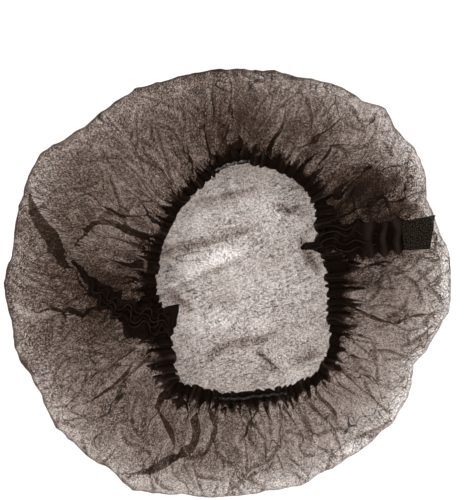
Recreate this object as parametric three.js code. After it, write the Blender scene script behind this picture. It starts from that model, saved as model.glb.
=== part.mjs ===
// A bouffant cap: a bag of thin non-woven cloth lying on its crown, with its elastic mouth facing up.
// Millimetres, +Z up. The origin is on the surface under the middle of the cap.
import * as THREE from "three";
import { ParametricGeometry } from "three/addons/geometries/ParametricGeometry.js";
import { mergeVertices } from "three/addons/utils/BufferGeometryUtils.js";

// Driving dimensions
const CLOTH_WALL = 1.2;
const PIECE_GAP = 0.6;
const EDGE_GAP = 0.4;
const SKIRT_TOP = 48;
const GATHER_COUNT = 48;
const GATHER_HEIGHT = 1.8;
const GATHER_REACH = 0.42; // share of the skirt, from the hem outwards
const HEM_LOBES = 58;
const HEM_BASE = SKIRT_TOP - 3;
const HEM_LIP = SKIRT_TOP + 4;
const ELASTIC_WIDTH = 4;
const ELASTIC_THICKNESS = 0.9;
const ELASTIC_SEAT = 0.45; // the elastic lies this share of the hem's width from the mouth
const PLEAT_THICKNESS = 6;
const PLEAT_RIB = 1.4;
const WELD_THICKNESS = 2.4;

// Where each gathered hem starts and ends, in degrees from +X towards +Y
const HEM_UPPER = { start: 33, end: 192 };
const HEM_LOWER = { start: 229, end: 368 };

// The cap seen from above, a row for each direction: the outer edge, the mouth's edge and the hem's width
const SECTIONS = [
  { direction: 0, reach: 165, mouth: 72, hem: 21 },
  { direction: 15, reach: 161, mouth: 72, hem: 22 },
  { direction: 30, reach: 169, mouth: 76, hem: 19 },
  { direction: 45, reach: 173, mouth: 87, hem: 14 },
  { direction: 60, reach: 169, mouth: 90, hem: 12 },
  { direction: 75, reach: 161, mouth: 90, hem: 11 },
  { direction: 90, reach: 160, mouth: 88, hem: 11 },
  { direction: 105, reach: 159, mouth: 76, hem: 11 },
  { direction: 120, reach: 160, mouth: 67, hem: 11 },
  { direction: 135, reach: 163, mouth: 60, hem: 11 },
  { direction: 150, reach: 170, mouth: 56, hem: 12 },
  { direction: 165, reach: 167, mouth: 54, hem: 13 },
  { direction: 180, reach: 167, mouth: 54, hem: 14 },
  { direction: 195, reach: 169, mouth: 53, hem: 16 },
  { direction: 210, reach: 166, mouth: 52, hem: 17 },
  { direction: 225, reach: 168, mouth: 62, hem: 16 },
  { direction: 240, reach: 170, mouth: 80, hem: 14 },
  { direction: 255, reach: 166, mouth: 80, hem: 13 },
  { direction: 270, reach: 160, mouth: 81, hem: 13 },
  { direction: 285, reach: 159, mouth: 82, hem: 13 },
  { direction: 300, reach: 159, mouth: 88, hem: 12 },
  { direction: 315, reach: 160, mouth: 92, hem: 10 },
  { direction: 330, reach: 159, mouth: 86, hem: 12 },
  { direction: 345, reach: 160, mouth: 76, hem: 17 },
];

// The cap's wall from its middle to the mouth, a row for each ring of the mesh:
// out is the share of the reach, inward the share of the way back from the outer edge to the hem.
// The crown ends and the skirt starts at the widest ring
const WIDEST_RING = 6;
const RINGS = [
  { out: 0, inward: 0, height: 0 },
  { out: 0.35, inward: 0, height: 0 },
  { out: 0.62, inward: 0, height: 0 },
  { out: 0.78, inward: 0, height: 1.6 },
  { out: 0.9, inward: 0, height: 7 },
  { out: 0.97, inward: 0, height: 15 },
  { out: 1, inward: 0, height: 24 },
  { out: 1, inward: 0.06, height: 32 },
  { out: 1, inward: 0.16, height: 38 },
  { out: 1, inward: 0.29, height: 42 },
  { out: 1, inward: 0.43, height: 44.5 },
  { out: 1, inward: 0.57, height: 46 },
  { out: 1, inward: 0.71, height: 47 },
  { out: 1, inward: 0.83, height: 47.6 },
  { out: 1, inward: 0.93, height: SKIRT_TOP },
  { out: 1, inward: 1, height: SKIRT_TOP },
];

// The main folds of the skirt: from and to are shares of the way from the hem to the outer edge,
// at is the direction where a fold starts and swing how far it has turned where it ends, in degrees
const FOLDS = [
  { at: 36, swing: -4, from: 0.2, to: 0.8, height: 4, width: 6 },
  { at: 54, swing: -8, from: 0.05, to: 0.7, height: 6, width: 6 },
  { at: 66, swing: -9, from: 0.05, to: 0.85, height: 5, width: 6 },
  { at: 78, swing: -4, from: 0.05, to: 0.85, height: 5, width: 6 },
  { at: 93, swing: 2, from: 0.05, to: 0.75, height: 4, width: 6 },
  { at: 110, swing: 4, from: 0.05, to: 0.7, height: 5, width: 6 },
  { at: 117, swing: 11, from: 0.05, to: 0.85, height: 5, width: 6 },
  { at: 134, swing: 14, from: 0.05, to: 0.6, height: 5, width: 6 },
  { at: 155, swing: 15, from: 0.1, to: 0.6, height: 4, width: 6 },
  { at: 201, swing: -47, from: 0.38, to: 0.98, height: 8, width: 8 },
  { at: 194, swing: -9, from: 0.45, to: 1, height: 5, width: 6 },
  { at: 217, swing: 4, from: 0.5, to: 0.8, height: 4, width: 6 },
  { at: 236, swing: 16, from: 0.25, to: 0.7, height: 5, width: 6 },
  { at: 260, swing: -12, from: 0.05, to: 0.95, height: 7, width: 7 },
  { at: 266, swing: -10, from: 0.05, to: 0.75, height: 5, width: 5 },
  { at: 277, swing: -5, from: 0.05, to: 0.65, height: 4, width: 5 },
  { at: 290, swing: -3, from: 0.05, to: 0.7, height: 4, width: 5 },
  { at: 307, swing: -1, from: 0.05, to: 0.75, height: 5, width: 6 },
  { at: 326, swing: 3, from: 0.05, to: 0.6, height: 4, width: 6 },
  { at: 349, swing: 5, from: 0.1, to: 1, height: 6, width: 7 },
];

// The bundles of shut pleats, each from its end at the mouth outwards: a row for each place along it
const PLEATS_RIGHT = [
  { x: 62, y: 29, width: 21 },
  { x: 84, y: 31, width: 28 },
  { x: 108, y: 33, width: 26 },
  { x: 130, y: 35, width: 23 },
];
const PLEATS_LEFT = [
  { x: -45, y: -31, width: 22 },
  { x: -59, y: -31, width: 22 },
  { x: -76, y: -26, width: 19 },
  { x: -92, y: -15, width: 14 },
  { x: -104, y: -3, width: 8 },
];

// The heat-sealed ends: where each meets its pleats and where it stops
const WELD_RIGHT = { from: { x: 131, y: 35, width: 23 }, to: { x: 153, y: 38, width: 20 } };
const WELD_LEFT = { from: { x: -43.6, y: -31, width: 19 }, to: { x: -35, y: -26, width: 13 } };

const COLUMNS = 2 * GATHER_COUNT;

const non_woven = new THREE.MeshStandardMaterial({ color: 0x3b322e, roughness: 0.85, metalness: 0 });
const gathered_cloth = new THREE.MeshStandardMaterial({ color: 0x1a1412, roughness: 0.8, metalness: 0 });
const elastic_yarn = new THREE.MeshStandardMaterial({ color: 0x8d8580, roughness: 0.55, metalness: 0 });
const sealed_cloth = new THREE.MeshStandardMaterial({ color: 0x1f1916, roughness: 0.5, metalness: 0 });

const radians = THREE.MathUtils.degToRad;
const lerp = THREE.MathUtils.lerp;
const smoothstep = THREE.MathUtils.smoothstep;

// A column of SECTIONS at any direction, on a smooth closed curve through its rows
function around(column, direction) {
  const step = 360 / SECTIONS.length;
  const place = THREE.MathUtils.euclideanModulo(direction, 360) / step;
  const row = Math.floor(place);
  const t = place - row;
  const value = (k) => SECTIONS[(row + k + SECTIONS.length) % SECTIONS.length][column];
  const [a, b, c, d] = [value(-1), value(0), value(1), value(2)];
  return b + 0.5 * t * (c - a + t * (2 * a - 5 * b + 4 * c - d + t * (3 * (b - c) + d - a)));
}

const foot = (direction) => around("mouth", direction) + around("hem", direction);

// The signed distance between two directions, in degrees
const turn = (from, to) => THREE.MathUtils.euclideanModulo(to - from + 180, 360) - 180;

// How far a fold lifts the skirt at a direction and a share of the way from the hem to the outer edge
function foldLift(fold, direction, outward, radius) {
  const t = (outward - fold.from) / (fold.to - fold.from);
  if (t <= 0 || t >= 1) return 0;
  const crest = fold.at + fold.swing * t;
  const away = (radians(turn(crest, direction)) * radius) / fold.width;
  return fold.height * Math.sin(Math.PI * t ** 0.7) * Math.exp(-away * away);
}

// What folds and gathers add to the skirt's height
function relief(direction, outward, radius) {
  const lifted = FOLDS.map((fold) => foldLift(fold, direction, outward, radius));
  const crest = Math.cos(radians(direction * GATHER_COUNT));
  const gathers = GATHER_HEIGHT * crest * (1 - smoothstep(outward, 0, GATHER_REACH));
  return Math.max(...lifted) + gathers;
}

// How far a ring is from the middle
function ringRadius(ring, direction) {
  const reach = around("reach", direction);
  return ring.out * reach + ring.inward * (foot(direction) - reach);
}

// A point of the cap's wall on a ring, at a depth under its outer face
function wallPoint(direction, index, depth) {
  const ring = RINGS[index];
  const before = RINGS[Math.max(index - 1, 0)];
  const after = RINGS[Math.min(index + 1, RINGS.length - 1)];
  const radius = ringRadius(ring, direction);
  const along = ringRadius(after, direction) - ringRadius(before, direction);
  const rise = after.height - before.height;
  const length = Math.hypot(along, rise);
  const onSkirt = ring.inward > 0 ? relief(direction, 1 - ring.inward, radius) : 0;
  const r = Math.max(radius - (depth * rise) / length, 0);
  const z = ring.height + onSkirt + (depth * along) / length;
  return new THREE.Vector3(r * Math.cos(radians(direction)), r * Math.sin(radians(direction)), z);
}

// The height of the skirt's upper face anywhere outside the mouth
function skirtHeight(x, y) {
  const direction = THREE.MathUtils.radToDeg(Math.atan2(y, x));
  const radius = Math.hypot(x, y);
  const reach = around("reach", direction);
  const inward = THREE.MathUtils.clamp((reach - radius) / (reach - foot(direction)), 0, 1);
  const rows = RINGS.filter((ring) => ring.out === 1);
  const next = Math.max(rows.findIndex((ring) => ring.inward >= inward), 1);
  const [low, high] = [rows[next - 1], rows[next]];
  const share = (inward - low.inward) / (high.inward - low.inward);
  return lerp(low.height, high.height, share) + relief(direction, 1 - inward, radius);
}

// A parametric surface made a closed solid: shared corners merged, empty triangles dropped, faces outwards
function solid(surface, slices, stacks) {
  const made = new ParametricGeometry(surface, slices, stacks);
  made.deleteAttribute("normal");
  made.deleteAttribute("uv");
  const merged = mergeVertices(made, 1e-3);
  const corner = new THREE.Vector3();
  const place = (i) => corner.fromBufferAttribute(merged.attributes.position, i).clone();
  const index = merged.index.array;
  const faces = [];
  let volume = 0;
  for (let i = 0; i < index.length; i += 3) {
    const [a, b, c] = index.slice(i, i + 3);
    if (a === b || b === c || c === a) continue;
    faces.push([a, b, c]);
    volume += place(a).dot(place(b).cross(place(c)));
  }
  const outward = faces.map(([a, b, c]) => (volume > 0 ? [a, b, c] : [a, c, b]));
  merged.setIndex(outward.flat());
  merged.computeVertexNormals();
  return merged;
}

function piece(name, geometry, material) {
  const mesh = new THREE.Mesh(geometry, material);
  mesh.name = name;
  return mesh;
}

// Crown: the outer face from the middle to the widest ring, then the inner face back again
function crownGeometry() {
  const stacks = 2 * WIDEST_RING + 1;
  const surface = (u, v, target) => {
    const station = Math.round(v * stacks);
    const inside = station > WIDEST_RING;
    const index = inside ? stacks - station : station;
    target.copy(wallPoint(360 * u, index, inside ? CLOTH_WALL : 0));
  };
  return solid(surface, COLUMNS, stacks);
}

// Skirt: the outer face from the widest ring to the hem, then the inner face back to its start
function skirtGeometry() {
  const bands = RINGS.length - 1 - WIDEST_RING;
  const stacks = 2 * bands + 2;
  const surface = (u, v, target) => {
    const station = Math.round(v * stacks) % stacks;
    const inside = station > bands;
    const band = inside ? stacks - 1 - station : station;
    target.copy(wallPoint(360 * u, WIDEST_RING + band, inside ? CLOTH_WALL : 0));
    if (band === 0) target.z += EDGE_GAP;
  };
  return solid(surface, COLUMNS, stacks);
}

// A point beside the elastic's line: offset is outwards, height above the surface
function besideElastic(direction, offset, height) {
  const mouth = around("mouth", direction);
  const line = lerp(mouth, foot(direction), ELASTIC_SEAT);
  const r = line + offset;
  return new THREE.Vector3(r * Math.cos(radians(direction)), r * Math.sin(radians(direction)), height);
}

// A hem: a ruffle with a groove for its elastic, from one end of the strip to the other
function hemGeometry({ start, end }) {
  const lobes = Math.round((HEM_LOBES * (end - start)) / 360);
  const stationsPerLobe = 4;
  const slices = lobes * stationsPerLobe;
  const groove = ELASTIC_WIDTH / 2 + PIECE_GAP;
  const grooveFloor = HEM_LIP - ELASTIC_THICKNESS - PIECE_GAP - 0.6;
  const section = (direction, wave) => {
    const width = around("hem", direction);
    const inner = width * ELASTIC_SEAT;
    const outer = width * (1 - ELASTIC_SEAT) - PIECE_GAP - 0.6;
    const lobe = inner * lerp(0.8, 1, wave);
    const tooth = Math.max(outer * lerp(1, 0.72, wave), groove + 0.8);
    return [
      { offset: -lobe, height: lerp(HEM_BASE, SKIRT_TOP, wave) - 1 },
      { offset: -lobe, height: lerp(SKIRT_TOP, HEM_LIP, wave) },
      { offset: -groove - 0.6, height: HEM_LIP },
      { offset: -groove, height: grooveFloor },
      { offset: groove, height: grooveFloor },
      { offset: groove + 0.6, height: HEM_LIP },
      { offset: tooth, height: lerp(HEM_LIP, SKIRT_TOP, wave) + 1 },
      { offset: tooth, height: lerp(SKIRT_TOP, HEM_BASE, wave) },
      { offset: 0, height: HEM_BASE - 1 },
    ];
  };
  const corners = section(start, 0).length;
  const surface = (u, v, target) => {
    const direction = lerp(start, end, u);
    const wave = 0.5 + 0.5 * Math.sin(2 * Math.PI * (lobes * u + 0.12));
    const rows = section(direction, wave);
    const capped = u <= 0 || u >= 1;
    const row = capped ? { offset: 0, height: HEM_BASE + 1 } : rows[Math.round(v * corners) % corners];
    target.copy(besideElastic(direction, row.offset, row.height));
  };
  return solid(surface, slices, corners);
}

// An elastic: a flat band lying in its hem's groove
function elasticGeometry({ start, end }) {
  const slices = Math.round((end - start) / 4);
  const top = HEM_LIP - 0.6;
  const half = ELASTIC_WIDTH / 2;
  const section = [
    { offset: -half, height: top - ELASTIC_THICKNESS },
    { offset: half, height: top - ELASTIC_THICKNESS },
    { offset: half, height: top },
    { offset: -half, height: top },
  ];
  const surface = (u, v, target) => {
    const capped = u <= 0 || u >= 1;
    const middle = { offset: 0, height: top - ELASTIC_THICKNESS / 2 };
    const row = capped ? middle : section[Math.round(v * section.length) % section.length];
    target.copy(besideElastic(lerp(start, end, u), row.offset, row.height));
  };
  return solid(surface, slices, section.length);
}

// A ribbon lying on the skirt: its two faces, joined round their edges
function ribbonGeometry(rows, thickness, ribCount, ribHeight, slices) {
  const path = new THREE.CatmullRomCurve3(rows.map((row) => new THREE.Vector3(row.x, row.y, row.width)));
  const across = [-0.5, -0.25, 0, 0.25, 0.5];
  const last = across.length - 1;
  const stacks = 2 * last + 2;
  const surface = (u, v, target) => {
    const capped = u <= 0 || u >= 1;
    const at = path.getPoint(u);
    const heading = path.getTangent(u).setZ(0).normalize();
    const station = Math.round(v * stacks) % stacks;
    const onTop = station > last;
    const share = capped ? 0 : across[onTop ? stacks - 1 - station : station];
    const x = at.x - heading.y * share * at.z;
    const y = at.y + heading.x * share * at.z;
    const rest = skirtHeight(x, y) + GATHER_HEIGHT + PIECE_GAP;
    const rib = ribHeight * (0.5 + 0.5 * Math.cos(2 * Math.PI * ribCount * u));
    const rise = thickness - ribHeight + rib;
    target.set(x, y, rest + (capped ? thickness / 2 : onTop ? rise : 0));
  };
  return solid(surface, slices, stacks);
}

function weldGeometry({ from, to }) {
  const middle = { x: (from.x + to.x) / 2, y: (from.y + to.y) / 2, width: (from.width + to.width) / 2 };
  return ribbonGeometry([from, middle, to], WELD_THICKNESS, 0, 0, 6);
}

const cap = new THREE.Group();
cap.add(
  piece("crown", crownGeometry(), non_woven),
  piece("skirt", skirtGeometry(), non_woven),
  piece("hem_upper", hemGeometry(HEM_UPPER), gathered_cloth),
  piece("hem_lower", hemGeometry(HEM_LOWER), gathered_cloth),
  piece("elastic_upper", elasticGeometry(HEM_UPPER), elastic_yarn),
  piece("elastic_lower", elasticGeometry(HEM_LOWER), elastic_yarn),
  piece("pleats_right", ribbonGeometry(PLEATS_RIGHT, PLEAT_THICKNESS, 7, PLEAT_RIB, 28), gathered_cloth),
  piece("pleats_left", ribbonGeometry(PLEATS_LEFT, PLEAT_THICKNESS, 7, PLEAT_RIB, 28), gathered_cloth),
  piece("weld_right", weldGeometry(WELD_RIGHT), sealed_cloth),
  piece("weld_left", weldGeometry(WELD_LEFT), sealed_cloth),
);

// The middle of the cap over the origin, and its crown on the surface
const box = new THREE.Box3().setFromObject(cap);
const middle = box.getCenter(new THREE.Vector3());
cap.position.set(-middle.x, -middle.y, -box.min.z);

export default cap;
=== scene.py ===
import math

import bmesh
import bpy
import numpy as np
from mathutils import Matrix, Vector, noise


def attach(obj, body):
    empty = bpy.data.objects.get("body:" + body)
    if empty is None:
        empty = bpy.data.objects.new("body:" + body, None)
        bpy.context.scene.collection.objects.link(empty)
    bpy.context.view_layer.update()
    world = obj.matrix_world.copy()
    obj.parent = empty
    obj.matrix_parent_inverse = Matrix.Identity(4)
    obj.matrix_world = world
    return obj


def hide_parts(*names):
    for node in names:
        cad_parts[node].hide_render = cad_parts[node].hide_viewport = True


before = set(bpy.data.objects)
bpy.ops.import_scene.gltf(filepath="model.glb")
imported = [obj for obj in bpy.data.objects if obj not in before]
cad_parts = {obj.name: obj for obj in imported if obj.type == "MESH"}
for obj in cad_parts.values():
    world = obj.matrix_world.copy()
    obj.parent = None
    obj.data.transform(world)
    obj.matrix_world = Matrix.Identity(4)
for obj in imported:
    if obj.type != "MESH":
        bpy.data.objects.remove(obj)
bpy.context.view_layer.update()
mm = 0.001
print("frame loaded with", len(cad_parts), "nodes")

# The cap from above: direction in degrees, then the outer edge, the mouth's edge and the hem's width
# in mm, how many layers thick the gathered skirt is there, and how pale its edge is
capRows = [
    (0, 165, 72, 21, 1.05, 0.95),
    (15, 161, 72, 22, 1.18, 0.9),
    (30, 169, 76, 19, 1.16, 0.75),
    (45, 172, 87, 14, 1.49, 0.5),
    (60, 169, 90, 12, 2.06, 0.25),
    (75, 161, 90, 11, 2.81, 0.12),
    (90, 160, 88, 11, 3.28, 0.08),
    (105, 159, 76, 11, 2.68, 0.06),
    (120, 160, 67, 11, 2.03, 0.04),
    (135, 163, 60, 11, 1.8, 0.02),
    (150, 170, 56, 12, 1.93, 0),
    (165, 167, 54, 13, 2.32, 0),
    (180, 167, 54, 14, 2.53, 0.02),
    (195, 169, 53, 16, 2.3, 0.05),
    (210, 166, 52, 17, 1.84, 0.1),
    (225, 168, 62, 16, 1.56, 0.15),
    (240, 170, 80, 14, 1.54, 0.22),
    (255, 166, 80, 13, 1.48, 0.4),
    (270, 160, 81, 13, 1.45, 0.55),
    (285, 159, 82, 13, 1.17, 0.65),
    (300, 159, 88, 12, 0.89, 0.75),
    (315, 160, 92, 10, 0.76, 0.75),
    (330, 159, 86, 12, 0.79, 0.9),
    (345, 160, 76, 17, 0.93, 0.95),
]
capTable = np.array(capRows, float)

# Corners and notches of the outer edge: direction, how far out in mm, half width in degrees
edgeBumps = [
    (8, 3, 4),
    (23, -5, 4),
    (38, 2, 4),
    (43, -3, 3),
    (48, 4, 3),
    (54, -2, 3),
    (78, 2, 3),
    (116, 2, 3),
    (132, -3, 4),
    (146, 3, 4),
    (169, -2, 4),
    (180, 2, 4),
    (190, -2, 4),
    (205, -3, 4),
    (220, 3, 4),
    (237, -4, 4),
    (245, 3, 3),
    (259, -2, 4),
    (289, 2, 4),
    (320, 2, 3),
    (336, -8, 5),
    (353, 3, 5),
]
edgeGrow = 1.012  # the rolled edge lies lower than the mouth, so it looks a little smaller from above

# The wall from the crown's middle to the hem: share of the reach, share of the way back in, height in mm
wallRows = [
    (0, 0, 0),
    (0.35, 0, 0),
    (0.62, 0, 0),
    (0.78, 0, 1.6),
    (0.9, 0, 7),
    (0.97, 0, 15),
    (1, 0, 24),
    (1, 0.06, 32),
    (1, 0.16, 38),
    (1, 0.29, 42),
    (1, 0.43, 44.5),
    (1, 0.57, 46),
    (1, 0.71, 47),
    (1, 0.83, 47.6),
    (1, 0.93, 48),
    (1, 1, 48),
]
wallTable = np.array(wallRows, float)


def cubic(a, b, c, d, t):
    return b + 0.5 * t * (c - a + t * (2 * a - 5 * b + 4 * c - d + t * (3 * (b - c) + d - a)))


def around(column, angle):
    # a column of the table at any direction
    rows = len(capTable)
    place = np.mod(angle, 360) / (360 / rows)
    row = np.floor(place).astype(int)
    a, b, c, d = (capTable[(row + k) % rows, column] for k in (-1, 0, 1, 2))
    return cubic(a, b, c, d, place - row)


def edgeAt(angle):
    edge = edgeGrow * around(1, angle)
    for at, out, half in edgeBumps:
        away = (np.mod(angle - at + 180, 360) - 180) / half
        edge = edge + out * np.exp(-(np.abs(away) ** 1.3))
    return edge


def mouthAt(angle):
    return around(2, angle)


def hemAt(angle):
    return around(3, angle)


def footAt(angle):
    return mouthAt(angle) + hemAt(angle)


# the CAD part is centred on its box, so the drawing's middle moves with it
ringAngle = np.arange(0, 360, 3.75)
ringX = around(1, ringAngle) * np.cos(np.radians(ringAngle))
ringY = around(1, ringAngle) * np.sin(np.radians(ringAngle))
capMiddle = np.array([ringX.max() + ringX.min(), ringY.max() + ringY.min(), 0]) / 2


def wallAt(place):
    last = len(wallTable) - 1
    row = np.clip(np.floor(place).astype(int), 0, last - 1)
    t = (place - row)[..., None]
    a, b, c, d = (wallTable[np.clip(row + k, 0, last)] for k in (-1, 0, 1, 2))
    wall = cubic(a, b, c, d, t)
    return wall[..., 0], wall[..., 1], wall[..., 2]


def skirtHeight(x, y):
    angle = np.degrees(np.arctan2(y, x))
    edge = edgeAt(angle)
    inward = np.clip((edge - np.hypot(x, y)) / (edge - footAt(angle)), 0, 1)
    return np.interp(inward, wallTable[6:, 1], wallTable[6:, 2])


def ramp(low, high, value):
    t = np.clip((value - low) / (high - low), 0, 1)
    return t * t * (3 - 2 * t)


def lumps(points, size, seed):
    # smooth noise from about -1 to 1, with lumps about size mm wide
    away = Vector((17.3 * seed, 5.1 * seed, 9.7 * seed))
    return np.array([noise.noise(Vector(p) / size + away) for p in points])


def smoothPath(points, steps=6):
    points = np.array(points, float)
    last = len(points) - 1
    place = np.linspace(0, last, last * steps + 1)
    row = np.clip(np.floor(place).astype(int), 0, last - 1)
    a, b, c, d = (points[np.clip(row + k, 0, last)] for k in (-1, 0, 1, 2))
    return cubic(a, b, c, d, (place - row)[:, None])


def besidePath(points, x, y):
    # distance to the left of a path, share of its length, and its leftward direction
    run = np.hypot(*np.diff(points, axis=0).T)
    total = run.sum()
    nearest = np.full(x.shape, 1e9)
    side, share = np.zeros(x.shape), np.zeros(x.shape)
    leftX, leftY = np.zeros(x.shape), np.zeros(x.shape)
    done = 0
    for k, length in enumerate(run):
        aheadX, aheadY = (points[k + 1] - points[k]) / length
        offX, offY = x - points[k, 0], y - points[k, 1]
        along = np.clip(offX * aheadX + offY * aheadY, 0, length)
        restX, restY = offX - along * aheadX, offY - along * aheadY
        gap = np.hypot(restX, restY)
        near = gap < nearest
        nearest = np.where(near, gap, nearest)
        left = np.where(aheadX * restY - aheadY * restX >= 0, 1, -1)
        side = np.where(near, gap * left, side)
        share = np.where(near, (done + along) / total, share)
        leftX, leftY = np.where(near, -aheadY, leftX), np.where(near, aheadX, leftY)
        done += length
    return side, share, leftX, leftY


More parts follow.
